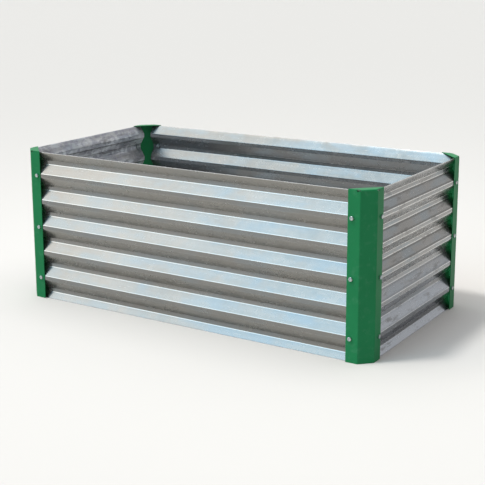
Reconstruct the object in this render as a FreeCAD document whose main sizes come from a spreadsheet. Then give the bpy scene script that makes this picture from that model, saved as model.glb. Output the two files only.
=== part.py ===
# Raised garden bed: four ribbed galvanised walls bolted to four folded corner posts.
# Open above and below. Millimetres; X runs along the bed, Y across it, Z up from the ground.
# The origin is on the ground, under the middle of the bed.
import FreeCAD, Part
import Sketcher
import os

# ---------------------------------------------------------------- driving dimensions
# Each row: name, size, what it measures.
DIMENSIONS = (
    ("bed_length", 1115, "left to right, over the posts"),
    ("bed_width", 585, "front to back, over the posts"),
    ("bed_height", 438, "ground to the top of the posts"),
    ("post_sheet", 1.5, "thickness of the post sheet"),
    ("post_bevel", 31.3, "sharp corner of the post to the fold beside its 45 degree face"),
    ("post_reach", 64.2, "sharp corner of the post to the free edge of a flange"),
    ("post_bend", 2.5, "inside radius of the folds of a post"),
    ("lip_bend", 1.5, "inside radius of the fold that carries the top lip"),
    ("lip_gap", 0.4, "play between the top lip and what stands beside or under it"),
    ("lip_short", 2, "how far the lip stops short of the flange edges"),
    ("relief_length", 9, "length of the notch that frees the lip at each fold of a post"),
    ("relief_depth", 5.5, "depth of that notch at its far end"),
    ("relief_play", 0.6, "how far that notch goes below the lip's own fold"),
    ("wall_sheet", 0.8, "thickness of the ribbed sheet"),
    ("wall_play", 1.7, "fold of a post to the end of the wall behind it"),
    ("rib_pitch", 76.2, "crest to crest"),
    ("rib_depth", 16, "crest to valley"),
    ("rib_bend", 3, "inside radius of the folds of the ribs"),
    ("crest_height", 62, "ground to the middle of the lowest bolted crest"),
    ("bolt_edge", 11.4, "free edge of a flange to its bolts"),
    ("bolt_below_top", 30, "least height of post above its top bolt"),
    ("bolt_size", 6, "width of the bolt shank"),
    ("bolt_length", 12, "length of the bolt below its head"),
    ("head_flats", 10, "across the flats of the bolt head"),
    ("head_height", 4, "height of the bolt head"),
    ("nut_flats", 10, "across the flats of the nut"),
    ("nut_height", 5, "height of the nut"),
    ("nut_room", 0.5, "flats of a nut to the folds of the crest that it sits in"),
    ("thread_gap", 0.05, "radial play between the bolt and the nut"),
    ("hole_gap", 0.3, "radial play of the bolt in the holes"),
)

# Shanks and bolt holes are small and many, so each is round in twelve flats.
RIBS_BETWEEN_BOLTS = 2
HEX = 6
ROUND = 12

doc = FreeCAD.newDocument("raised_garden_bed")
sheet = doc.addObject("Spreadsheet::Sheet", "Sizes")
for row, (name, size, meaning) in enumerate(DIMENSIONS, start=1):
    sheet.set("A%d" % row, name)
    sheet.set("B%d" % row, str(size))
    sheet.setAlias("B%d" % row, name)
    sheet.set("C%d" % row, meaning)
doc.recompute()


# ---------------------------------------------------------------- shared steps
def value(expression):
    """The number that an expression on the sheet gives now."""
    return float(sheet.evalExpression(expression))


def role(body, name):
    """One of the body's own planes or axes."""
    return [item for item in body.Origin.OriginFeatures if item.Role == name][0]


def new_sketch(body, name, plane, right="0", up="0", out="0"):
    """A sketch on one of the body's planes, its own origin shifted right, up and out of it."""
    sketch = body.newObject("Sketcher::SketchObject", name)
    sketch.AttachmentSupport = [(role(body, plane), "")]
    sketch.MapMode = "FlatFace"
    for axis, shift in (("x", right), ("y", up), ("z", out)):
        sketch.setExpression("AttachmentOffset.Base." + axis, shift)
    return sketch


def pin_point(sketch, edge, end, across, up):
    """Hold a point at a distance from the sketch origin; 0 puts it on the axis itself."""
    for kind, axis, distance in (("DistanceX", -2, across), ("DistanceY", -1, up)):
        if distance == "0":
            sketch.addConstraint(Sketcher.Constraint("PointOnObject", edge, end, axis))
            continue
        held = Sketcher.Constraint(kind, -1, 1, edge, end, value(distance))
        index = sketch.addConstraint(held)
        sketch.setExpression("Constraints[%d]" % index, distance)


def draw_outline(sketch, corners):
    """Closed outline of straight edges; corners are (across, up) pairs of expressions."""
    points = [FreeCAD.Vector(value(across), value(up), 0) for across, up in corners]
    following = points[1:] + points[:1]
    for start, end in zip(points, following):
        sketch.addGeometry(Part.LineSegment(start, end))
    for edge in range(len(points)):
        sketch.addConstraint(Sketcher.Constraint("Coincident", edge, 2, (edge + 1) % len(points), 1))
    for edge, (across, up) in enumerate(corners):
        pin_point(sketch, edge, 1, across, up)


def draw_polygon(sketch, sides, flats, across="0", up="0", corner_up=False):
    """Regular polygon of a given width over its flats, a corner to the right or else on top."""
    spoke = "(%s) / (2 * cos(%d))" % (flats, 180 // sides)
    out = FreeCAD.Vector(0, 0, 1)
    centre = FreeCAD.Vector(value(across), value(up), 0)
    first = FreeCAD.Vector(0, value(spoke), 0) if corner_up else FreeCAD.Vector(value(spoke), 0, 0)
    ring = sketch.addGeometry(Part.Circle(centre, out, value(spoke)), True)
    pin_point(sketch, ring, 3, across, up)
    size = sketch.addConstraint(Sketcher.Constraint("Radius", ring, value(spoke)))
    sketch.setExpression("Constraints[%d]" % size, spoke)
    points = [centre + FreeCAD.Rotation(out, side * 360 / sides).multVec(first) for side in range(sides)]
    edges = []
    for start, end in zip(points, points[1:] + points[:1]):
        edges.append(sketch.addGeometry(Part.LineSegment(start, end)))
    for edge, following in zip(edges, edges[1:] + edges[:1]):
        sketch.addConstraint(Sketcher.Constraint("Coincident", edge, 2, following, 1))
        sketch.addConstraint(Sketcher.Constraint("PointOnObject", edge, 1, ring))
    for following in edges[1:]:
        sketch.addConstraint(Sketcher.Constraint("Equal", edges[0], following))
    level = "Vertical" if corner_up else "Horizontal"
    sketch.addConstraint(Sketcher.Constraint(level, ring, 3, edges[0], 1))


def pad(body, name, sketch, length, backwards=False):
    """Material raised from a sketch."""
    feature = body.newObject("PartDesign::Pad", name)
    feature.Profile = sketch
    feature.setExpression("Length", length)
    feature.Reversed = backwards
    doc.recompute()
    return feature


def cut(body, name, sketch, depth, backwards=False):
    """Material taken away to a depth, which has to take some away."""
    before = body.Shape.Volume
    feature = body.newObject("PartDesign::Pocket", name)
    feature.Profile = sketch
    feature.setExpression("Length", depth)
    feature.Reversed = backwards
    doc.recompute()
    if not body.Shape.Volume < before:
        raise RuntimeError("%s cuts nothing" % name)
    return feature


def repeat(body, name, feature, step, copies):
    """Copies a step apart up the body: of a feature, or of the whole body where it is None."""
    pattern = body.newObject("PartDesign::LinearPattern", name)
    if feature is None:
        pattern.TransformMode = "Whole shape"
    else:
        pattern.Originals = [feature]
    pattern.Direction = (role(body, "Z_Axis"), [""])
    pattern.Mode = "Spacing"
    pattern.setExpression("Offset", step)
    pattern.setExpression("Occurrences", copies)
    body.Tip = pattern
    doc.recompute()
    return pattern


def round_edges(body, name, feature, lines, direction, radius):
    """Round the straight edges that lie on the given lines, each a point on its line."""
    chosen = []
    for index, edge in enumerate(feature.Shape.Edges, start=1):
        if edge.Curve.TypeId != "Part::GeomLine":
            continue
        if abs(abs(edge.Curve.Direction.dot(direction)) - 1) > 1e-6:
            continue
        for point in lines:
            reach = edge.CenterOfMass - point
            if (reach - direction * reach.dot(direction)).Length < 1e-3:
                chosen.append("Edge%d" % index)
    if len(chosen) != len(lines):
        raise RuntimeError("%s finds %d edges on %d lines" % (name, len(chosen), len(lines)))
    rounding = body.newObject("PartDesign::Fillet", name)
    rounding.Base = (feature, chosen)
    rounding.setExpression("Radius", radius)
    doc.recompute()
    return rounding


def place(body, turn, across, along, up="0"):
    """Stand a body at its corner or side of the bed, turned about the vertical."""
    body.Placement = FreeCAD.Placement(FreeCAD.Vector(), FreeCAD.Rotation(turn, 0, 0))
    for axis, distance in (("x", across), ("y", along), ("z", up)):
        body.setExpression("Placement.Base." + axis, distance)


def new_body(label):
    """An empty body; its label names its file."""
    body = doc.addObject("PartDesign::Body", "Body")
    body.Label = label
    return body


# Shared sizes that follow from the sheet: the bolts stand on every second crest, as far up
# as the post lets them, and the walls end just past the folds of the posts.
BOLT_STEP = "%d * Sizes.rib_pitch" % RIBS_BETWEEN_BOLTS
BOLT_COPIES = "floor((Sizes.bed_height - Sizes.bolt_below_top - Sizes.crest_height) / (%s)) + 1" % (
    BOLT_STEP)
BOLT_INSET = "(Sizes.post_reach - Sizes.bolt_edge)"
HOLE_SIZE = "Sizes.bolt_size + 2 * Sizes.hole_gap"
WALL_INSET = "(Sizes.post_bevel + Sizes.wall_play)"
RIB_FLAT = "(Sizes.nut_flats + 2 * Sizes.nut_room)"


# ---------------------------------------------------------------- corner post
# One folded sheet: a flange along each wall, a 45 degree face between them and a level lip
# on top, folded inwards from that face. Its sharp corner is the local origin, and the
# flanges run along +X and +Y.
def corner_post(label, turn, across, along):
    body = new_body(label)
    bevel = "Sizes.post_bevel"
    reach = "Sizes.post_reach"
    thick = "Sizes.post_sheet"
    height = "Sizes.bed_height"
    fold = "Sizes.post_bevel + Sizes.post_sheet * tan(22.5)"

    outline = new_sketch(body, "FoldedOutline", "XY_Plane")
    draw_outline(outline, (
        (bevel, "0"), (reach, "0"), (reach, thick), (fold, thick),
        (thick, fold), (thick, reach), ("0", reach), ("0", bevel)))
    sheet_metal = pad(body, "Sheet", outline, height)

    upright = FreeCAD.Vector(0, 0, 1)
    outer = [FreeCAD.Vector(value(bevel), 0, 0), FreeCAD.Vector(0, value(bevel), 0)]
    inner = [FreeCAD.Vector(value(fold), value(thick), 0), FreeCAD.Vector(value(thick), value(fold), 0)]
    rounded = round_edges(body, "OuterFolds", sheet_metal, outer, upright,
                          "Sizes.post_bend + Sizes.post_sheet")
    round_edges(body, "InnerFolds", rounded, inner, upright, "Sizes.post_bend")

    # The lip: between the flanges, with play beside them, up to a straight inner edge.
    beside = "Sizes.post_sheet + Sizes.lip_gap"
    root = "Sizes.post_bevel - Sizes.post_sheet - Sizes.lip_gap"
    tip = "Sizes.post_reach - Sizes.lip_short"
    lip = new_sketch(body, "LipOutline", "XY_Plane", out="Sizes.bed_height - Sizes.post_sheet")
    draw_outline(lip, ((root, beside), (tip, beside), (beside, tip), (beside, root)))
    pad(body, "Lip", lip, thick)

    # A notch at each end of the lip's fold, through the flange, lets the lip fold freely.
    top = "Sizes.bed_height"
    notch_root = "Sizes.bed_height - Sizes.post_sheet - Sizes.lip_bend - Sizes.relief_play"
    notch_floor = "Sizes.bed_height - Sizes.relief_depth"
    notch_end = "Sizes.post_bevel + Sizes.relief_length"
    notch = ((root, top), (notch_end, top), (notch_end, notch_floor), (root, notch_root))
    for plane, backwards in (("XZ_Plane", False), ("YZ_Plane", True)):
        sketch = new_sketch(body, "Relief", plane)
        draw_outline(sketch, notch)
        relieved = cut(body, "ReliefNotch", sketch, beside, backwards)

    # The lip's own fold along the top of the 45 degree face.
    slant = FreeCAD.Vector(1, -1, 0).normalize()
    ridge = FreeCAD.Vector(value(bevel), 0, value(top))
    hollow = FreeCAD.Vector(value(bevel) + value(thick) * 2 ** 0.5, 0, value(top) - value(thick))
    crown = round_edges(body, "LipFoldOutside", relieved, [ridge], slant,
                        "Sizes.lip_bend + Sizes.post_sheet")
    folded = round_edges(body, "LipFoldInside", crown, [hollow], slant, "Sizes.lip_bend")

    # The bolt holes up each flange.
    for plane, backwards in (("XZ_Plane", False), ("YZ_Plane", True)):
        sketch = new_sketch(body, "Hole", plane)
        draw_polygon(sketch, ROUND, HOLE_SIZE, BOLT_INSET, "Sizes.crest_height")
        hole = cut(body, "BoltHole", sketch, "2 * Sizes.post_sheet", backwards)
        repeat(body, "BoltHoles", hole, BOLT_STEP, BOLT_COPIES)
    place(body, turn, across, along)
    return body


# ---------------------------------------------------------------- ribbed wall
# One rolled sheet whose ribs run level. The crests touch the back of the post flanges and
# the valleys stand inwards. Local X runs along the wall from its left end, +Y points into
# the bed from the face of the crests, and the sheet starts at the ground.
def ribbed_wall(label, side, turn, across, along):
    body = new_body(label)
    length = "Sizes.%s - 2 * %s" % (side, WALL_INSET)
    thick = "Sizes.wall_sheet"
    deep = "Sizes.rib_depth"
    deep_inside = "Sizes.rib_depth + Sizes.wall_sheet"
    slope = "atan(Sizes.rib_depth / (Sizes.rib_pitch / 2 - %s))" % RIB_FLAT
    mitre = "Sizes.wall_sheet * tan(%s / 2)" % slope
    pitch = "Sizes.rib_pitch"
    half_flat = RIB_FLAT + " / 2"
    crest_low = "Sizes.rib_pitch / 2 - " + half_flat
    crest_high = "Sizes.rib_pitch / 2 + " + half_flat

    # One rib, from the middle of a valley up to the middle of the next.
    below = "ceil(Sizes.crest_height / Sizes.rib_pitch)"
    start = "Sizes.crest_height - %s * Sizes.rib_pitch - Sizes.rib_pitch / 2" % below
    outer_face = (
        (deep, "0"), (deep, half_flat), ("0", crest_low), ("0", crest_high),
        (deep, pitch + " - " + half_flat), (deep, pitch))
    inner_face = (
        (deep_inside, pitch), (deep_inside, pitch + " - " + half_flat + " - " + mitre),
        (thick, crest_high + " - " + mitre), (thick, crest_low + " + " + mitre),
        (deep_inside, half_flat + " + " + mitre), (deep_inside, "0"))
    section = new_sketch(body, "RibSection", "YZ_Plane", up=start)
    draw_outline(section, outer_face + inner_face)
    rib = pad(body, "Rib", section, length)

    # The four folds: the hollow side of each has the bend radius, the other a sheet more.
    level = FreeCAD.Vector(1, 0, 0)
    hollow = [outer_face[1], outer_face[4], inner_face[2], inner_face[3]]
    proud = [outer_face[2], outer_face[3], inner_face[1], inner_face[4]]
    hollow_lines = [FreeCAD.Vector(0, value(y), value(z) + value(start)) for y, z in hollow]
    proud_lines = [FreeCAD.Vector(0, value(y), value(z) + value(start)) for y, z in proud]
    bent = round_edges(body, "HollowFolds", rib, hollow_lines, level, "Sizes.rib_bend")
    round_edges(body, "ProudFolds", bent, proud_lines, level, "Sizes.rib_bend + Sizes.wall_sheet")

    # The rolled sheet, cut level at the ground and just under the lips of the posts.
    top = "Sizes.bed_height - Sizes.post_sheet - Sizes.lip_gap"
    ribs = "ceil((%s - (%s)) / Sizes.rib_pitch) + 1" % (top, start)
    repeat(body, "Ribs", None, pitch, ribs)
    waste_height = "2 * Sizes.rib_pitch"
    for name, foot in (("CutAtGround", "-2 * Sizes.rib_pitch"), ("CutUnderLip", top)):
        waste = body.newObject("PartDesign::SubtractiveBox", name)
        waste.setExpression("Length", length)
        waste.setExpression("Width", deep_inside)
        waste.setExpression("Height", waste_height)
        waste.setExpression("Placement.Base.z", foot)
        doc.recompute()

    # A hole for each bolt, through the crests at both ends.
    near_end = "%s - %s" % (BOLT_INSET, WALL_INSET)
    far_end = "Sizes.%s - %s - %s" % (side, WALL_INSET, BOLT_INSET)
    holes = new_sketch(body, "Holes", "XZ_Plane")
    for across_wall in (near_end, far_end):
        draw_polygon(holes, ROUND, HOLE_SIZE, across_wall, "Sizes.crest_height")
    pair = cut(body, "BoltHole", holes, "2 * Sizes.wall_sheet")
    repeat(body, "BoltHoles", pair, BOLT_STEP, BOLT_COPIES)
    place(body, turn, across, along)
    return body


# ---------------------------------------------------------------- bolts and nuts
# The fasteners up one flange share one body, each a solid of its own. The outer face of the
# flange is at local Y = 0, the bolts point along +Y, and the lowest is at the local origin.
def bolt_row(label, turn, across, along):
    """Hexagon head bolts, their heads on the flange."""
    body = new_body(label)
    shank = new_sketch(body, "ShankOutline", "XZ_Plane")
    draw_polygon(shank, ROUND, "Sizes.bolt_size")
    pad(body, "Shank", shank, "Sizes.bolt_length", backwards=True)
    head = new_sketch(body, "HeadOutline", "XZ_Plane")
    draw_polygon(head, HEX, "Sizes.head_flats", corner_up=True)
    pad(body, "Head", head, "Sizes.head_height")
    repeat(body, "Bolts", None, BOLT_STEP, BOLT_COPIES)
    place(body, turn, across, along, "Sizes.crest_height")
    return body


def nut_row(label, turn, across, along):
    """Hexagon nuts, seated in the hollow of the crests."""
    body = new_body(label)
    outline = new_sketch(body, "NutOutline", "XZ_Plane", out="-Sizes.post_sheet - Sizes.wall_sheet")
    draw_polygon(outline, HEX, "Sizes.nut_flats")
    draw_polygon(outline, ROUND, "Sizes.bolt_size + 2 * Sizes.thread_gap")
    pad(body, "Nut", outline, "Sizes.nut_height", backwards=True)
    repeat(body, "Nuts", None, BOLT_STEP, BOLT_COPIES)
    place(body, turn, across, along, "Sizes.crest_height")
    return body


# ---------------------------------------------------------------- the whole bed
# Going round the bed: each side starts at a corner post. Turn is that side's direction, the
# two signs are the corner's place, and the two ends name the rows of fasteners.
SIDES = (
    ("front_wall", "bed_length", "corner_post_front_left", 0, (1, 0), (-1, -1), ("left", "right")),
    ("right_wall", "bed_width", "corner_post_front_right", 90, (0, 1), (1, -1), ("front", "back")),
    ("back_wall", "bed_length", "corner_post_back_right", 180, (-1, 0), (1, 1), ("right", "left")),
    ("left_wall", "bed_width", "corner_post_back_left", 270, (0, -1), (-1, 1), ("back", "front")),
)



def spot(signs, heading, forward, inward):
    """A place counted from a corner of the bed, along the side that starts there and inwards."""
    across = "%d * Sizes.bed_length / 2 + %d * (%s) - %d * (%s)" % (
        signs[0], heading[0], forward, heading[1], inward)
    along = "%d * Sizes.bed_width / 2 + %d * (%s) + %d * (%s)" % (
        signs[1], heading[1], forward, heading[0], inward)
    return across, along


posts = []
walls = []
fasteners = []
for wall, side, post, turn, heading, signs, ends in SIDES:
    posts.append(corner_post(post, turn, *spot(signs, heading, "0", "0")))
    wall_start = spot(signs, heading, WALL_INSET, "Sizes.post_sheet")
    walls.append(ribbed_wall(wall, side, turn, *wall_start))
    far_end = "Sizes.%s - %s" % (side, BOLT_INSET)
    for end, forward in zip(ends, (BOLT_INSET, far_end)):
        flange = spot(signs, heading, forward, "0")
        fasteners.append(bolt_row("%s_%s_bolts" % (wall, end), turn, *flange))
        fasteners.append(nut_row("%s_%s_nuts" % (wall, end), turn, *flange))
doc.recompute()

# ---------------------------------------------------------------- check and write
for item in doc.Objects:
    if "Invalid" in item.State or "Error" in item.State:
        raise RuntimeError("%s in %s failed" % (item.Label, doc.Name))
wanted = [(piece, 1) for piece in posts + walls]
wanted += [(piece, int(value(BOLT_COPIES))) for piece in fasteners]
for piece, solids in wanted:
    if piece.Shape.isNull() or not piece.Shape.isValid() or len(piece.Shape.Solids) != solids:
        raise RuntimeError("%s has no sound shape" % piece.Label)

os.makedirs("parts", exist_ok=True)
for piece, solids in wanted:
    piece.Shape.exportStep("parts/%s.step" % piece.Label)
    print("%-26s %d solid, %9.0f mm3" % (piece.Label, solids, piece.Shape.Volume))
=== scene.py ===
# A raised garden bed: ribbed galvanised walls, green corner posts, zinc bolts and nuts.
# Metres, in the frame of the solids: X along the bed, Y from front to back, Z up.
import math

import bmesh
import bpy
import numpy as np
from mathutils import Matrix


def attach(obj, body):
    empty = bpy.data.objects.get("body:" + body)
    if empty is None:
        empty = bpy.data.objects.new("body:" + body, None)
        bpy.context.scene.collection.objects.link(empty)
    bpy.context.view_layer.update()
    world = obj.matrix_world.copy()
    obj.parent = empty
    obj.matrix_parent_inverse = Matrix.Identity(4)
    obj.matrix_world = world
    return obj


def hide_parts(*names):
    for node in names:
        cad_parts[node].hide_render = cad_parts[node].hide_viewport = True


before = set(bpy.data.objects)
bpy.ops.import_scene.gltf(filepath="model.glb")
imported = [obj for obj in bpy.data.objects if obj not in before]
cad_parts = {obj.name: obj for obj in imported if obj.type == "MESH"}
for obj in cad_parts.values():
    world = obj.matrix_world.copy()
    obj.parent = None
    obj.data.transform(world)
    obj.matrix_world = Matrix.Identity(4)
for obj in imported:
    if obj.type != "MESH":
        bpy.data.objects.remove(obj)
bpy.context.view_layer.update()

# ------------------------------------------------------------------ corner posts
# Each post is one piece of 1.5 mm steel sheet, notched, folded twice along its height and
# once more at the top for the level lip, then powder coated green. The walls bolt to the
# backs of its two flanges.
POST_HEIGHT = 0.438
POST_SHEET = 0.0015
POST_FOLD = 0.0313            # sharp corner to the fold, on the outside
POST_EDGE = 0.0642            # sharp corner to the free edge of a flange
POST_BEND = 0.00325           # fold radius at the middle of the sheet
POST_BEND_STEPS = 6
POST_FACE_STEPS = 6           # columns across the 45 degree face
POST_ROWS = 9
LIP_BEND = 0.00225            # fold radius of the lip
LIP_BEND_STEPS = 7
LIP_ROWS = 3
LIP_TIP = 0.0641              # the lip's inner edge is the line x + y of this
LIP_SIDE = 0.0019             # from the outer face of a flange to the side of the lip
NOTCH_END = 0.0403            # sharp corner to the far side of a notch
NOTCH_DEEP = 0.0055           # top of the post to the foot of a notch
NOTCH_SHALLOW = 0.0036        # top of the post to the sheet beside the lip's fold
SHEET_EDGE_ROUND = 0.0003
CUT_EDGE_ANGLE = 55           # degrees; an edge sharper than this is a cut edge


def folded_line(corners, radius, steps):
    """Line through the corners with each inner one rounded. The arc's centre lies on the
    corner's bisector at radius over the sine of half the angle, and its points are turned
    in equal steps from where it touches the first run to where it touches the second."""
    corners = np.asarray(corners, float)
    before = corners[:-2] - corners[1:-1]
    after = corners[2:] - corners[1:-1]
    before /= np.linalg.norm(before, axis=1, keepdims=True)
    after /= np.linalg.norm(after, axis=1, keepdims=True)
    half = np.arccos((before * after).sum(1)) / 2
    reach = (radius / np.tan(half))[:, None]
    middle = before + after
    middle /= np.linalg.norm(middle, axis=1, keepdims=True)
    centre = corners[1:-1] + middle * (radius / np.sin(half))[:, None]
    start = (corners[1:-1] + before * reach - centre)[:, None]
    end = (corners[1:-1] + after * reach - centre)[:, None]
    turn = (math.pi - 2 * half)[:, None, None]
    share = np.linspace(0, 1, steps + 1)[None, :, None]
    arcs = (np.sin((1 - share) * turn) * start + np.sin(share * turn) * end) / np.sin(turn)
    arcs = (arcs + centre[:, None]).reshape(-1, corners.shape[1])
    return np.vstack((corners[:1], arcs, corners[-1:]))


def run_along(line):
    """Length from a line's first point to each of its points: the sum of the runs before it."""
    return np.r_[0, np.cumsum(np.linalg.norm(np.diff(line, axis=0), axis=1))]


def grid_object(name, patches, merge=1e-6):
    """A mesh of one or more grids of points. Each grid is (rows, columns, 3), with (rows,
    columns, 2) of its own flat coordinates. Each face joins a point, its neighbour in the
    row and the two after them in the next row, and points closer than merge become one."""
    points, flats, faces = [], [], []
    count = 0
    for grid, flat in patches:
        rows, columns = grid.shape[:2]
        index = count + np.arange(rows * columns).reshape(rows, columns)
        square = (index[:-1, :-1], index[:-1, 1:], index[1:, 1:], index[1:, :-1])
        faces.append(np.stack(square, -1).reshape(-1, 4))
        points.append(grid.reshape(-1, 3))
        flats.append(flat.reshape(-1, 2))
        count += rows * columns
    points, flats, faces = np.vstack(points), np.vstack(flats), np.vstack(faces)
    mesh = bpy.data.meshes.new(name)
    mesh.from_pydata(points.tolist(), [], faces.tolist())
    layer = mesh.uv_layers.new(name="UVMap")
    layer.data.foreach_set("uv", flats[faces.reshape(-1)].reshape(-1))
    work = bmesh.new()
    work.from_mesh(mesh)
    bmesh.ops.remove_doubles(work, verts=work.verts, dist=merge)
    work.to_mesh(mesh)
    work.free()
    obj = bpy.data.objects.new(name, mesh)
    bpy.context.scene.collection.objects.link(obj)
    return obj


def settle(obj, crease=None):
    """Smooth faces with normals averaged by area, edges over the crease angle in degrees
    kept sharp, and every modifier made part of the mesh."""
    obj.data.polygons.foreach_set("use_smooth", np.ones(len(obj.data.polygons), bool))
    if crease:
        obj.data.set_sharp_from_angle(angle=math.radians(crease))
    level = obj.modifiers.new("Normals", "WEIGHTED_NORMAL")
    level.keep_sharp = True
    level.weight = 100
    shown = obj.evaluated_get(bpy.context.evaluated_depsgraph_get())
    baked = bpy.data.meshes.new_from_object(shown)
    obj.modifiers.clear()
    obj.data = baked
    baked.name = obj.name


def thicken(obj, thickness, edge_round=0):
    """Sheet metal from its middle surface: half the thickness to each side, the cut edges
    rounded off, and normals that keep the flats flat beside the folds."""
    solid = obj.modifiers.new("Sheet", "SOLIDIFY")
    solid.thickness = thickness
    solid.offset = 0
    solid.use_even_offset = True
    if edge_round:
        edge = obj.modifiers.new("Edge", "BEVEL")
        edge.width = edge_round
        edge.segments = 2
        edge.limit_method = "ANGLE"
        edge.angle_limit = math.radians(CUT_EDGE_ANGLE)
    settle(obj)


def turned(points, turn, corner):
    """Local points turned anticlockwise about the vertical by so many degrees, with X and Y
    mixed by its cosine and sine, and then moved to a corner."""
    across, along = math.cos(math.radians(turn)), math.sin(math.radians(turn))
    spin = np.array(((across, along, 0), (-along, across, 0), (0, 0, 1)))
    return points @ spin + np.asarray(corner)


def upright(line, levels):
    """A plan line of (x, y) points carried up, each point at each level. The levels are one
    for each row, or one for each row and point. The flat coordinates are the length along
    the line and the level."""
    shape = (len(levels), len(line))
    levels = np.broadcast_to(np.asarray(levels, float).reshape(len(levels), -1), shape)
    plan = np.broadcast_to(line[None], (*shape, 2))
    flat = np.stack((np.broadcast_to(run_along(line), shape), levels), -1)
    return np.concatenate((plan, levels[..., None]), -1), flat


def post_patches():
    """The middle surface of one post about its sharp corner: the walls up to the notches,
    the flange tops beyond them, the strip from notch to notch, and the lip. The lip bends
    through a quarter turn and then widens inwards between lines beside the flanges."""
    mid = POST_SHEET / 2
    fold = POST_FOLD + mid * (math.sqrt(2) - 1)
    bends = folded_line(((POST_EDGE, mid), (fold, mid), (mid, fold), (mid, POST_EDGE)),
                        POST_BEND, POST_BEND_STEPS)
    bend = POST_BEND_STEPS + 1
    first, last = bends[1:1 + bend], bends[1 + bend:-1]
    share = np.linspace(0, 1, POST_FACE_STEPS + 1)[1:-1, None]
    face = first[-1] + (last[0] - first[-1]) * share
    edge, notch = np.array(((POST_EDGE, mid),)), np.array(((NOTCH_END, mid),))
    between = np.vstack((notch, first, face, last, notch[:, ::-1]))
    section = np.vstack((edge, between, edge[:, ::-1]))

    notch_level = POST_HEIGHT - NOTCH_DEEP
    crown = POST_HEIGHT - LIP_BEND - mid
    rise = np.full(len(between), POST_HEIGHT - NOTCH_SHALLOW)
    rise[[0, -1]] = notch_level
    rise[bend:-bend] = crown
    patches = [
        upright(section, np.linspace(0, notch_level, POST_ROWS)),
        upright(np.vstack((edge, notch)), (notch_level, POST_HEIGHT)),
        upright(np.vstack((notch, edge))[:, ::-1], (notch_level, POST_HEIGHT)),
        upright(between, np.vstack((np.full(len(between), notch_level), rise))),
    ]

    # The lip's rows go inwards across the line x + y, first round the bend and then level.
    strip = np.vstack((first[-1:], face, last[:1]))
    angle = np.linspace(0, math.pi / 2, LIP_BEND_STEPS + 1)
    tip = (LIP_TIP - strip[0].sum()) / math.sqrt(2)
    inward = np.r_[LIP_BEND * (1 - np.cos(angle)), np.linspace(LIP_BEND, tip, LIP_ROWS + 1)[1:]]
    height = np.r_[crown + LIP_BEND * np.sin(angle), np.full(LIP_ROWS, POST_HEIGHT - mid)]
    total = strip[0].sum() + inward * math.sqrt(2)
    half = (total - 2 * LIP_SIDE) / math.sqrt(2)
    half[0] = np.linalg.norm(strip[0] - strip[-1]) / 2
    spread = half[:, None] * np.linspace(1, -1, len(strip))
    lip = np.stack((total[:, None] / 2 + spread / math.sqrt(2),
                    total[:, None] / 2 - spread / math.sqrt(2),
                    np.broadcast_to(height[:, None], spread.shape)), -1)
    run = crown + run_along(np.stack((inward, height), -1))
    middle = run_along(section)[-1] / 2
    flat = np.stack((spread + middle, np.broadcast_to(run[:, None], spread.shape)), -1)
    return [*patches, (lip, flat)]


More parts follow.
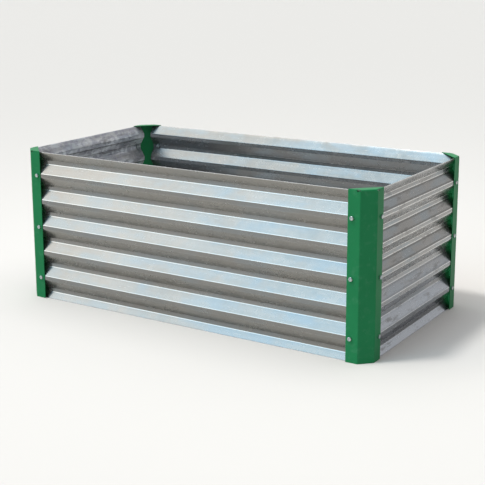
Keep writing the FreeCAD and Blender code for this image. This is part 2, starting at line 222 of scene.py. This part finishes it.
class Wire:
    """One output socket of a shader node. Each operator adds the Math node it stands for."""

    def __init__(self, socket):
        self.socket = socket

    def node(self, kind, settings, output, sockets):
        """Any node beside this one: its type, its settings, the output wanted, and the
        values or links of its sockets."""
        made = self.socket.id_data.nodes.new(kind)
        for name, setting in settings.items():
            if name == "stops":
                ramp = made.color_ramp.elements
                ramp[0].position, ramp[1].position = setting[0][0], setting[-1][0]
                for value, _ in setting[1:-1]:
                    ramp.new(value)
                for stop, (_, colour) in zip(ramp, setting):
                    stop.color = (*colour, 1)
            else:
                setattr(made, name, setting)
        for name, given in sockets.items():
            if isinstance(given, Wire):
                self.socket.id_data.links.new(given.socket, made.inputs[name])
            else:
                made.inputs[name].default_value = given
        return Wire(made.outputs[output])

    def math(self, operation, *others):
        """A Math node of this value and the others."""
        inputs = dict(enumerate((self, *others)))
        return self.node("ShaderNodeMath", {"operation": operation}, 0, inputs)

    def __add__(self, other):
        return self.math("ADD", other)

    def __mul__(self, other):
        return self.math("MULTIPLY", other)

    def __sub__(self, other):
        return self.math("SUBTRACT", other)

    def __rsub__(self, other):
        return self.math("MULTIPLY_ADD", -1, other)

    __radd__ = __add__
    __rmul__ = __mul__

    def size(self):
        """The value without its sign."""
        return self.math("ABSOLUTE")

    def step(self, low, high):
        """0 below low, 1 above high, and a smooth rise between them."""
        return self.node("ShaderNodeMapRange", {"interpolation_type": "SMOOTHSTEP"}, 0,
                         {"Value": self, "From Min": low, "From Max": high})

    def stripe(self, first, second, near, far):
        """1 where this is within near of either value, and a smooth fall to 0 at far."""
        nearest = (self - first).size().math("MINIMUM", (self - second).size())
        return 1 - nearest.step(near, far)

    def part(self, axis):
        """One component of a vector or colour."""
        return self.node("ShaderNodeSeparateXYZ", {}, axis, {0: self})

    def stretched(self, scale):
        """Coordinates scaled along each axis."""
        return self.node("ShaderNodeMapping", {}, 0, {"Vector": self, "Scale": scale})

    def noise(self, scale, detail=3.0, rough=0.55):
        """Noise with so many cells a metre, with finer octaves of falling weight on top."""
        return self.node("ShaderNodeTexNoise", {}, 0,
                         {"Vector": self, "Scale": scale, "Detail": detail, "Roughness": rough})

    def tone(self, *stops):
        """A colour for each value, from stops of (value, colour)."""
        return self.node("ShaderNodeValToRGB", {"stops": stops}, 0, {0: self})

    def between(self, first, second):
        """First value where this is 0, second where it is 1."""
        return self.node("ShaderNodeMix", {}, 0, {0: self, 2: first, 3: second})

    def mixed(self, first, second):
        """First colour where this is 0, second where it is 1."""
        first, second = (colour if isinstance(colour, Wire) else (*colour, 1)
                         for colour in (first, second))
        return self.node("ShaderNodeMix", {"data_type": "RGBA"}, 2, {0: self, 6: first, 7: second})

    def bump(self, strength, depth, under=None):
        """The surface raised by this height, over an earlier normal if one is given."""
        sockets = {"Height": self, "Strength": strength, "Distance": depth}
        if under:
            sockets["Normal"] = under
        return self.node("ShaderNodeBump", {}, 0, sockets)


def new_finish(name, **fixed):
    """A material with its Principled shader's constant sockets set: the material, wires from
    its Object and UV coordinates, and a function that feeds the shader's other sockets."""
    material = bpy.data.materials.new(name)
    material.use_nodes = True
    nodes = material.node_tree.nodes
    shader = nodes["Principled BSDF"]
    for socket, value in fixed.items():
        shader.inputs[socket.replace("_", " ")].default_value = value
    coordinates = nodes.new("ShaderNodeTexCoord")

    def feed(**wires):
        """Link each wire to the shader's socket of that name."""
        for socket, wire in wires.items():
            material.node_tree.links.new(wire.socket, shader.inputs[socket.replace("_", " ")])

    return material, Wire(coordinates.outputs["Object"]), Wire(coordinates.outputs["UV"]), feed


# Satin green with a slow drift of tone, dust, a few upright scratches and a fine peel.
powder_coat, place, _, feed = new_finish("green powder coat", IOR=1.4, Specular_IOR_Level=0.12)
cloud = place.noise(5.0)
peel = place.noise(900.0, 1.0)
dust = place.noise(70.0, 4.0, 0.65).step(0.5, 0.78)
scratch = place.stretched((1.0, 1.0, 0.05)).noise(420.0, 2.0).step(0.735, 0.77)
green = cloud.tone((0.3, (0.010, 0.142, 0.050)), (0.7, (0.013, 0.170, 0.062)))
green = (dust * 0.10).mixed(green, (0.20, 0.34, 0.26))
green = (scratch * 0.25).mixed(green, (0.10, 0.42, 0.24))
feed(Base_Color=green, Roughness=cloud * 0.12 + dust * 0.12 + 0.32,
     Normal=peel.bump(0.18, 0.00015, cloud.bump(0.4, 0.002)))

BED_LENGTH, BED_WIDTH = 1.115, 0.585
CORNERS = {
    "front_left": (0, (-BED_LENGTH / 2, -BED_WIDTH / 2, 0)),
    "front_right": (90, (BED_LENGTH / 2, -BED_WIDTH / 2, 0)),
    "back_right": (180, (BED_LENGTH / 2, BED_WIDTH / 2, 0)),
    "back_left": (270, (-BED_LENGTH / 2, BED_WIDTH / 2, 0)),
}
for corner, (turn, spot) in CORNERS.items():
    patches = [(turned(grid, turn, spot), flat) for grid, flat in post_patches()]
    post = grid_object("post_" + corner, patches)
    thicken(post, POST_SHEET, SHEET_EDGE_ROUND)
    post.data.materials.append(powder_coat)
    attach(post, "root")
    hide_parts("corner_post_" + corner)

# ------------------------------------------------------------------ walls
# Each wall is one length of 0.8 mm galvanised sheet, roll formed into level ribs 76.2 mm
# apart. Its crests lie against the flanges, and its valleys stand into the bed.
WALL_SHEET = 0.0008
WALL_INSET = 0.033            # sharp corner of the bed to the end of a wall
WALL_FOOT, WALL_TOP = 0.0002, 0.4359
WALL_COLUMN = 0.018           # about the width of a column of faces
RIB_PITCH = 0.0762
RIB_DEPTH = 0.016
CREST_HALF = 0.00539          # half of a crest's flat, at the middle of the sheet
VALLEY_HALF = 0.00561
CREST_LEVEL = 0.062           # height of the crest with the lowest bolts
FOLD_BEND = 0.0034
FOLD_STEPS = 5
LONG_RUN = 0.004              # a longer run of the rib line is cut in RUN_CUTS
RUN_CUTS = 3
CUT_CLEAR = 1e-4              # the rib line has no point nearer than this to its two ends
DRIFT = 0.00011               # height of each of the sheet's slow waves
DRIFT_WAVES = 4
DRIFT_FADE = 0.09             # length at each end over which they grow
FIRST_SEED = 3
INNER_SHIFT = 20.0            # added to the flat coordinates of faces that look inwards


def rib_line():
    """Depth and height of the wall's middle line: crest and valley flats joined by slopes,
    every fold rounded, cut off at the foot and at the top."""
    corners = []
    # from a crest below the floor to one above the rim
    for crest in CREST_LEVEL + RIB_PITCH * np.arange(-1, 7):
        corners += [(RIB_DEPTH, crest - RIB_PITCH / 2 + VALLEY_HALF), (0, crest - CREST_HALF),
                    (0, crest + CREST_HALF), (RIB_DEPTH, crest + RIB_PITCH / 2 - VALLEY_HALF)]
    line = folded_line(np.array(corners) + (WALL_SHEET / 2, 0), FOLD_BEND, FOLD_STEPS)
    cuts = np.linspace(line[:-1], line[1:], RUN_CUTS + 1, axis=1)[:, :-1].reshape(-1, 2)
    long = np.linalg.norm(np.diff(line, axis=0), axis=1) > LONG_RUN
    line = cuts[np.repeat(long, RUN_CUTS) | (np.arange(len(cuts)) % RUN_CUTS == 0)]
    inside = (line[:, 1] > WALL_FOOT + CUT_CLEAR) & (line[:, 1] < WALL_TOP - CUT_CLEAR)
    foot, top = ((np.interp(level, line[:, 1], line[:, 0]), level)
                 for level in (WALL_FOOT, WALL_TOP))
    return np.vstack((foot, line[inside], top))


def wall_patch(length, seed):
    """The middle surface of a wall: the rib line carried along the wall. It drifts in and
    out by a few tenths of a millimetre, the sum of slow waves across and up the sheet that
    die out at the posts, as rolled sheet does."""
    line = rib_line()
    along = np.linspace(0, length, int(round(length / WALL_COLUMN)) + 1)
    x, depth = np.meshgrid(along, line[:, 0])
    z = np.broadcast_to(line[:, 1:], x.shape)
    waves = np.random.default_rng(seed)
    fade = np.clip(np.minimum(x, length - x) / DRIFT_FADE, 0, 1) ** 2
    drift = np.zeros_like(x)
    for _ in range(DRIFT_WAVES):
        across, up, phase = waves.uniform(8, 34), waves.uniform(10, 55), waves.uniform(0, 6.28)
        drift += DRIFT * np.sin(across * x + up * z + phase)
    grid = np.stack((x, depth + drift * fade, z), -1)
    return grid, np.stack((x, np.broadcast_to(run_along(line)[:, None], x.shape)), -1)


def mark_inner_side(wall, outward):
    """Add INNER_SHIFT to the first flat coordinate of every face that looks into the bed,
    so that the finish can tell the two sides of the sheet apart."""
    mesh = wall.data
    normals, sizes = np.empty(len(mesh.polygons) * 3), np.empty(len(mesh.polygons), int)
    mesh.polygons.foreach_get("normal", normals)
    mesh.polygons.foreach_get("loop_total", sizes)
    flat = np.empty(len(mesh.loops) * 2)
    mesh.uv_layers[0].data.foreach_get("uv", flat)
    # the sheet's cut edges look sideways and stay with the outside
    inward = normals.reshape(-1, 3) @ outward < -0.2
    flat[::2] += INNER_SHIFT * np.repeat(inward, sizes)
    mesh.uv_layers[0].data.foreach_set("uv", flat)


galvanised, place, sheet_place, feed = new_finish("galvanised sheet")

# Where a point is. The height above the nearest crest is the same on every rib. Seen from
# outside the bed, down marks the slopes that look down and up those that look up.
length_place, width_place = place.part(0).size(), place.part(1).size()
height = place.part(2)
rib = (height - CREST_LEVEL) * (1 / RIB_PITCH) + 0.5
rib = (rib - rib.math("FLOOR") - 0.5) * RIB_PITCH
off_crest = rib.size()
valley = off_crest.step(0.0315, 0.0335)
down = (0 - rib).step(0.002, 0.011) * (1 - valley)
up = rib.step(0.002, 0.011) * (1 - valley)
flats = 1 - off_crest.step(0.0044, 0.0060) * (1 - off_crest.step(0.0315, 0.0330) * 0.6)
fold = off_crest.stripe(CREST_HALF, RIB_PITCH / 2 - VALLEY_HALF, 0.0005, 0.0015)
inner = sheet_place.part(0).step(INNER_SHIFT - 1, INNER_SHIFT)
outer = 1 - inner
ends = length_place.step(0.530, 0.536)
longs = 1 - ends
beside = length_place.step(0.488, 0.500) * longs + width_place.step(0.223, 0.235) * ends
foot = (1 - height.step(0.05, 0.24)) * ends * outer

# The zinc's own pattern: spangle, slow patches, streaks and waves along the ribs, bloom,
# cool patches, stains and scuffs; and thin lines of painted shade on both sides of each fold.
spangle = place.node("ShaderNodeTexVoronoi", {"feature": "SMOOTH_F1"}, 1,
                     {"Vector": place, "Scale": 95.0, "Smoothness": 0.35}).part(0)
patch = place.noise(6.0, 3.0)
bloom = place.noise(30.0, 4.0, 0.6)
cool = place.stretched((1.0, 1.0, 2.5)).noise(9.0, 3.0, 0.5).step(0.42, 0.66)
streak = sheet_place.stretched((2.2, 75.0, 1.0)).noise(1.0, 4.0, 0.6)
stain = sheet_place.stretched((12.0, 50.0, 1.0)).noise(1.0, 5.0, 0.7).step(0.54, 0.64)
wave = sheet_place.stretched((9.0, 34.0, 1.0)).noise(1.0, 2.0, 0.5)
scuff = sheet_place.stretched((14.0, 260.0, 1.0)).noise(1.0, 3.0, 0.6).step(0.66, 0.74)
# painted shade: thin dark lines beside the folds, on the slopes and on the flats
fold_side_shade = rib.stripe(0.0088, 0.0292, 0.0006, 0.0030)
under = rib.stripe(0.0036, -0.0345, 0.0003, 0.0020)

# painted light and shade by which way a slope looks: outside, the slopes that look down are
# lighter; inside, the whole sheet is lighter, the slopes under the up mask more so (most on the end
# walls), and those under the down mask darker
painted_slope_light = inner.between(down * 0.12, up * (ends * 0.90 + 0.05) - down * 0.26 + 0.12)
light = (patch * 0.22 + streak * 0.20 + bloom * 0.14
         + spangle * (inner * ends * 0.25 + 0.04) + painted_slope_light + 0.20)
zinc = light.tone((0.30, (0.225, 0.221, 0.213)), (0.50, (0.290, 0.287, 0.280)),
                  (1.0, (0.455, 0.456, 0.456)))
# how strong the painted fold highlights are: every fold of the end walls, and on the long walls
# only the folds between a crest and the valley above it
fold_share = (ends * 0.95).math("MAXIMUM", rib.step(-0.0005, 0.0005) * 0.70)
layers = (
    # painted reflected light brightening the inside, most on the end walls, and painted shade on
    # the undersides inside the long walls
    (inner * (1 - down * 0.85) * (ends * 0.75 + 0.08), (0.80, 0.85, 0.93)),
    (inner * up * longs * 0.55, (0.085, 0.095, 0.100)),
    # painted warm shade on the slopes that look down outside the long walls
    (down * outer * longs * 0.80, (0.272, 0.260, 0.234)),
    # painted pale and dark reflections, in waves, inside the end walls
    (wave.step(0.47, 0.60) * inner * ends * (1 - down * 0.75) * 0.65, (0.88, 0.94, 1.0)),
    ((1 - wave.step(0.36, 0.47)) * inner * ends * 0.45, (0.16, 0.165, 0.20)),
    # cool patches, and dark grains of the spangle
    (cool * (1 - down * outer * 0.75) * 0.52, (0.245, 0.300, 0.340)),
    (inner * ends * (spangle - 0.3).step(0.0, 0.5) * 0.50, (0.13, 0.13, 0.18)),
    # painted shade beside the folds, and painted shade darkening the crest and valley flats outside
    # the long walls
    (fold_side_shade * ends * 0.60, (0.10, 0.098, 0.09)),
    (under * 0.35, (0.14, 0.135, 0.125)),
    (flats * outer * longs * 0.50, (0.185, 0.177, 0.160)),
    # painted highlights along the folds, and scuffs
    (fold * outer * fold_share, (0.74, 0.74, 0.72)),
    (scuff * 0.25, (0.45, 0.45, 0.44)),
    # painted bluish reflection at the foot of the end walls outside: cooler overall, lighter on
    # slopes that look up, darker on those that look down
    ((1 - height.step(0.03, 0.26)) * ends * outer * 0.55, (0.225, 0.250, 0.290)),
    (foot * up * 0.60, (0.46, 0.50, 0.56)),
    (foot * down * 0.45, (0.12, 0.125, 0.15)),
    # painted green reflection of the posts beside them, stains, and a painted highlight along the
    # rim
    (beside * off_crest.step(0.006, 0.014) * outer * 0.60, (0.05, 0.34, 0.15)),
    (stain * ends * 0.55, (0.12, 0.118, 0.112)),
    (height.step(0.4338, 0.4350) * outer * 0.8, (0.80, 0.81, 0.82)),
)
for share, colour in layers:
    zinc = share.mixed(zinc, colour)

surface = (wave * inner * ends).bump(0.9, 0.006)
for raised, strength, depth in ((streak, 0.10, 0.0008), (patch, 0.40, 0.006),
                                (bloom, 0.04, 0.0012), (spangle, 0.03, 0.0004)):
    surface = raised.bump(strength, depth, surface)
feed(Base_Color=zinc, Normal=surface, Metallic=0.85 - inner * (ends * 0.50 + 0.05),
     Roughness=bloom * 0.12 + streak * 0.12 + spangle * 0.04 + scuff * 0.08 + 0.11)

# Each wall: its turn, its length over the posts, its first corner, and the names of its ends.
WALLS = {
    "front": (0, BED_LENGTH, CORNERS["front_left"][1], ("left", "right")),
    "right": (90, BED_WIDTH, CORNERS["front_right"][1], ("front", "back")),
    "back": (180, BED_LENGTH, CORNERS["back_right"][1], ("right", "left")),
    "left": (270, BED_WIDTH, CORNERS["back_left"][1], ("back", "front")),
}
for seed, (side, (turn, length, spot, _)) in enumerate(WALLS.items(), start=FIRST_SEED):
    grid, flat = wall_patch(length - 2 * WALL_INSET, seed)
    grid = turned(grid + (WALL_INSET, POST_SHEET, 0), turn, spot)
    wall = grid_object("wall_" + side, [(grid, flat + (seed, seed))])
    thicken(wall, WALL_SHEET)
    mark_inner_side(wall, turned(np.array((0, -1.0, 0)), turn, (0, 0, 0)))
    wall.data.materials.append(galvanised)
    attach(wall, "root")
    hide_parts(side + "_wall")

# ------------------------------------------------------------------ bolts
# M6 hexagon head bolts, bright zinc plated, three up each flange. The threaded end comes
# out of the nut inside the wall.
BOLT_STEP = 2 * RIB_PITCH
BOLTS_A_FLANGE = 3
BOLT_INSET = 0.0528           # sharp corner of the bed to the middle of a bolt
BOLT_LENGTH = 0.012
SHANK_RADIUS = 0.003
TIP_RADIUS = 0.0022
THREAD_PITCH = 0.001
THREAD_RINGS = 6              # rings of points in a pitch
THREAD_DEEP = 0.0006
THREAD_START = 0.0004         # from the seat, and from the tip
THREAD_RUN_IN = 0.0008        # length over which the thread grows
POINT_LENGTH = 0.0012
POINT_FLAT = 0.0007
HEX_FLATS = 0.010
HEX_FACE = 0.0046             # radius of the round face inside the bevel
HEX_SLOPE = math.tan(math.radians(30))
HEAD_HEIGHT = 0.004
DISH_FLOOR, DISH_RIM, DISH_DEEP = 0.0032, 0.0036, 0.0003
EDGE_BREAK = 0.0001           # how far every edge of a fastener is rounded off
ROUND_STEPS = 24
FASTENER_CREASE = 32


def hex_radius(angle):
    """Distance from the centre to the edge of a hexagon in each direction: half its flats
    over the cosine of the angle from the nearest flat's middle."""
    sixth = math.pi / 3
    return HEX_FLATS / 2 / np.cos((angle + sixth / 2) % sixth - sixth / 2)


def ringed(radius, level, angle):
    """Rings about the Y axis, as (rings, angles, 3): X is the radius times the cosine of the
    angle, Y the level, and Z the radius times the sine."""
    radius, level, angle = np.broadcast_arrays(radius, level, angle)
    return np.stack((radius * np.cos(angle), level, radius * np.sin(angle)), -1)


def bolt_rings(angle):
    """One bolt along +Y with its head's seat at 0: the head's dished round face and its
    bevel, which falls outwards from the face, the six flats, the seat, and the shank with
    its thread. The thread's radius falls and rises once a pitch and once a turn."""
    edge = hex_radius(angle - math.pi / 2)
    top = -HEAD_HEIGHT
    bevel = top + np.maximum(edge - HEX_FACE, 0) * HEX_SLOPE
    head = [
        ringed(0.0, top + DISH_DEEP, angle), ringed(DISH_FLOOR, top + DISH_DEEP, angle),
        ringed(DISH_RIM, top, angle), ringed(HEX_FACE - EDGE_BREAK * 1.5, top, angle),
        ringed(np.minimum(edge, HEX_FACE + EDGE_BREAK), top + EDGE_BREAK * 0.6, angle),
        ringed(edge - EDGE_BREAK, bevel, angle), ringed(edge, bevel + EDGE_BREAK, angle),
        ringed(edge, -EDGE_BREAK, angle), ringed(edge - EDGE_BREAK, 0.0, angle),
        ringed(SHANK_RADIUS, 0.0, angle)]
    level = np.arange(THREAD_START, BOLT_LENGTH - POINT_FLAT, THREAD_PITCH / THREAD_RINGS)[:, None]
    turns = level / THREAD_PITCH - angle / (2 * math.pi)
    valley = np.abs(turns % 1 - 0.5) * 2
    point = np.clip((BOLT_LENGTH - THREAD_START - level) / POINT_LENGTH, 0, 1)
    start = np.clip((level - THREAD_START) / THREAD_RUN_IN, 0, 1)
    thread = SHANK_RADIUS - THREAD_DEEP * valley * point * start - THREAD_DEEP * (1 - point)
    tip = [ringed(TIP_RADIUS, BOLT_LENGTH, angle), ringed(0.0, BOLT_LENGTH, angle)]
    return np.stack((*head, *ringed(thread, level, angle), *tip))


def ring_object(name, rings, places):
    """Closed pieces made of rings of points, one copy at each place, in one mesh. Rings of
    no radius close to a point, and the normals are turned outwards."""
    rings = np.concatenate((rings, rings[:, :1]), 1)
    rows, columns = rings.shape[:2]
    flat = np.stack(np.meshgrid(np.linspace(0, 1, columns), np.linspace(0, 1, rows)), -1)
    obj = grid_object(name, [(rings + place, flat) for place in places], 2e-6)
    work = bmesh.new()
    work.from_mesh(obj.data)
    bmesh.ops.dissolve_degenerate(work, edges=work.edges, dist=1e-7)
    bmesh.ops.recalc_face_normals(work, faces=work.faces)
    work.to_mesh(obj.data)
    work.free()
    settle(obj, FASTENER_CREASE)
    return obj


def flange_places(inset, turn, spot):
    """The places up one flange: at the inset along the wall, from the lowest crest up, and
    two crests apart."""
    level = CREST_LEVEL + BOLT_STEP * np.arange(BOLTS_A_FLANGE)
    places = np.stack((np.full_like(level, inset), np.zeros_like(level), level), -1)
    return turned(places, turn, spot)


# Bright zinc with a faint blue to yellow film and a fine grain.
zinc_plate, place, _, feed = new_finish("bright zinc plate", Metallic=1.0)
film = place.noise(160.0, 3.0)
grain = place.noise(2600.0, 2.0)
plate = film.tone((0.32, (0.26, 0.33, 0.35)), (0.5, (0.40, 0.46, 0.47)), (0.68, (0.50, 0.52, 0.47)))
feed(Base_Color=plate, Roughness=film * 0.18 + grain * 0.10 + 0.14,
     Normal=grain.bump(0.12, 0.00004))

ROWS = [(side, end, turn, spot, inset)
        for side, (turn, length, spot, flanges) in WALLS.items()
        for end, inset in zip(flanges, (BOLT_INSET, length - BOLT_INSET))]
round_angle = np.linspace(0, 2 * math.pi, ROUND_STEPS, endpoint=False)
bolt = bolt_rings(round_angle)
for side, end, turn, spot, inset in ROWS:
    bolts = ring_object("bolts_%s_%s" % (side, end), turned(bolt, turn, (0, 0, 0)),
                        flange_places(inset, turn, spot))
    bolts.data.materials.append(zinc_plate)
    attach(bolts, "root")
    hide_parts("%s_wall_%s_bolts" % (side, end))

# ------------------------------------------------------------------ nuts
# M6 hexagon nuts, zinc plated as the bolts are and bevelled on both faces. They sit tight
# in the hollow of the crests, inside the wall.
NUT_HEIGHT = 0.005
NUT_BORE = 0.00305
NUT_SEAT = POST_SHEET + WALL_SHEET
SEAT_SINK = (0.0003, 0.0004)  # countersink at the seat: wider and deeper by these
FREE_SINK = (0.0005, 0.0006)  # countersink at the free face


def nut_rings(angle):
    """One nut along +Y: up the bore, out over the seat and its bevel, along the flats, and
    back over the free face to a countersink. Both bevels fall outwards from their face."""
    edge = hex_radius(angle)
    fall = np.maximum(edge - HEX_FACE, 0) * HEX_SLOPE
    low, high = NUT_SEAT, NUT_SEAT + NUT_HEIGHT
    free_end = ringed(NUT_BORE, high - FREE_SINK[1], angle)
    return np.stack((
        free_end, ringed(NUT_BORE, low + SEAT_SINK[1], angle),
        ringed(NUT_BORE + SEAT_SINK[0], low, angle), ringed(HEX_FACE - EDGE_BREAK, low, angle),
        ringed(edge - EDGE_BREAK, low + fall, angle), ringed(edge, low + fall + EDGE_BREAK, angle),
        ringed(edge, high - fall - EDGE_BREAK, angle),
        ringed(edge - EDGE_BREAK, high - fall, angle), ringed(HEX_FACE - EDGE_BREAK, high, angle),
        ringed(NUT_BORE + FREE_SINK[0], high, angle), free_end))


nut = nut_rings(round_angle)
for side, end, turn, spot, inset in ROWS:
    nuts = ring_object("nuts_%s_%s" % (side, end), turned(nut, turn, (0, 0, 0)),
                       flange_places(inset, turn, spot))
    nuts.data.materials.append(zinc_plate)
    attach(nuts, "root")
    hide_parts("%s_wall_%s_nuts" % (side, end))

# ------------------------------------------------------------------ studio
# A pale matt floor, a soft sky with a wide glow to the left of the front and a dim patch to
# the right of it, one soft sun from the left, and a panel straight above the bed.
FLOOR_HALF = 60
SUN_LEFT, SUN_HEIGHT, SUN_SIZE = 48, 66, 8      # degrees
GLOW_LEFT, GLOW_HEIGHT = 43, 38
DIM_LEFT, DIM_HEIGHT = -62, 22

floor_mesh = bpy.data.meshes.new("floor")
floor_corners = [(-FLOOR_HALF, -FLOOR_HALF, 0), (FLOOR_HALF, -FLOOR_HALF, 0),
                 (FLOOR_HALF, FLOOR_HALF, 0), (-FLOOR_HALF, FLOOR_HALF, 0)]
floor_mesh.from_pydata(floor_corners, [], [(0, 1, 2, 3)])
floor = bpy.data.objects.new("floor", floor_mesh)
bpy.context.scene.collection.objects.link(floor)
floor_finish = new_finish("pale floor", Roughness=0.9, Base_Color=(0.52, 0.507, 0.490, 1))[0]
floor_mesh.materials.append(floor_finish)

world = bpy.data.worlds.new("studio sky")
bpy.context.scene.world = world
world.use_nodes = True
sky = world.node_tree.nodes["Background"]
toward = Wire(world.node_tree.nodes.new("ShaderNodeTexCoord").outputs["Object"])


def near(left_of_front, above, low, high):
    """How close the sky is to a direction, given in degrees left of the front and above the
    floor: 0 where the cosine of the angle between them is low, and 1 where it is high."""
    left, up = math.radians(left_of_front), math.radians(above)
    aim = (-math.sin(left) * math.cos(up), -math.cos(left) * math.cos(up), math.sin(up))
    cosine = toward.node("ShaderNodeVectorMath", {"operation": "DOT_PRODUCT"}, 1,
                         {0: toward, 1: aim})
    return cosine.step(low, high)


rise = toward.part(2)
dome = rise.tone((0.0, (0.82, 0.80, 0.78)), (0.25, (0.74, 0.73, 0.72)),
                 (0.45, (0.70, 0.70, 0.71)), (0.8, (1.10, 1.10, 1.12)))
dim = near(DIM_LEFT, DIM_HEIGHT, 0.25, 0.80) * rise.step(0.07, 0.24) * 0.68
dome = dim.mixed(dome, (0.12, 0.125, 0.13))
glow = near(GLOW_LEFT - 90, 0, -0.06, 0.12).mixed((2.55, 2.43, 2.22), (1.50, 2.22, 2.68))
dome = near(GLOW_LEFT, GLOW_HEIGHT, 0.74, 0.965).mixed(dome, glow)
world.node_tree.links.new(dome.socket, sky.inputs["Color"])
sky.inputs["Strength"].default_value = 1.0

lamp = bpy.data.lights.new("key", "SUN")
lamp.energy = 2.1
lamp.angle = math.radians(SUN_SIZE)
lamp.color = (1.0, 0.98, 0.95)
key = bpy.data.objects.new("key", lamp)
bpy.context.scene.collection.objects.link(key)
key.rotation_euler = (math.radians(90 - SUN_HEIGHT), 0, math.radians(-SUN_LEFT))

panel = bpy.data.lights.new("overhead", "AREA")
panel.shape = "RECTANGLE"
panel.size, panel.size_y = 2.4, 1.6
panel.energy = 28
overhead = bpy.data.objects.new("overhead", panel)
bpy.context.scene.collection.objects.link(overhead)
overhead.location = (0, 0, 2.6)

# ------------------------------------------------------------------ camera
# It stands to the right of the front wall, a little above the rim, on a long lens. The
# angles, the stand and the lens are a fit to the photograph's corners, bolts and ribs.
AZIMUTH, ELEVATION, ROLL = (math.radians(angle) for angle in (32.353, 12.217, -0.186))
STAND_RIGHT, STAND_UP, STAND_BACK = 0.0173, 0.2143, 7.2058      # in heights of the bed
PHOTO_PIXELS = 485
FOCAL_PIXELS = 1093.15
SENSOR = 36

back = np.array((math.sin(AZIMUTH) * math.cos(ELEVATION),
                 -math.cos(AZIMUTH) * math.cos(ELEVATION), math.sin(ELEVATION)))
right = np.array((math.cos(AZIMUTH), math.sin(AZIMUTH), 0))
up = np.cross(back, right)
right, up = (math.cos(ROLL) * right + math.sin(ROLL) * up,
             math.cos(ROLL) * up - math.sin(ROLL) * right)
stand = POST_HEIGHT * (STAND_BACK * back + STAND_RIGHT * right + STAND_UP * up + (0, 0, 0.5))
lens = bpy.data.cameras.new("camera")
lens.sensor_width = SENSOR
lens.lens = FOCAL_PIXELS / PHOTO_PIXELS * SENSOR
lens.shift_y = -0.1
camera = bpy.data.objects.new("camera", lens)
bpy.context.scene.collection.objects.link(camera)
pose = np.eye(4)
pose[:3, 0], pose[:3, 1], pose[:3, 2], pose[:3, 3] = right, up, back, stand
camera.matrix_world = Matrix(pose)
bpy.context.scene.camera = camera
bpy.context.scene.view_settings.view_transform = "Standard"
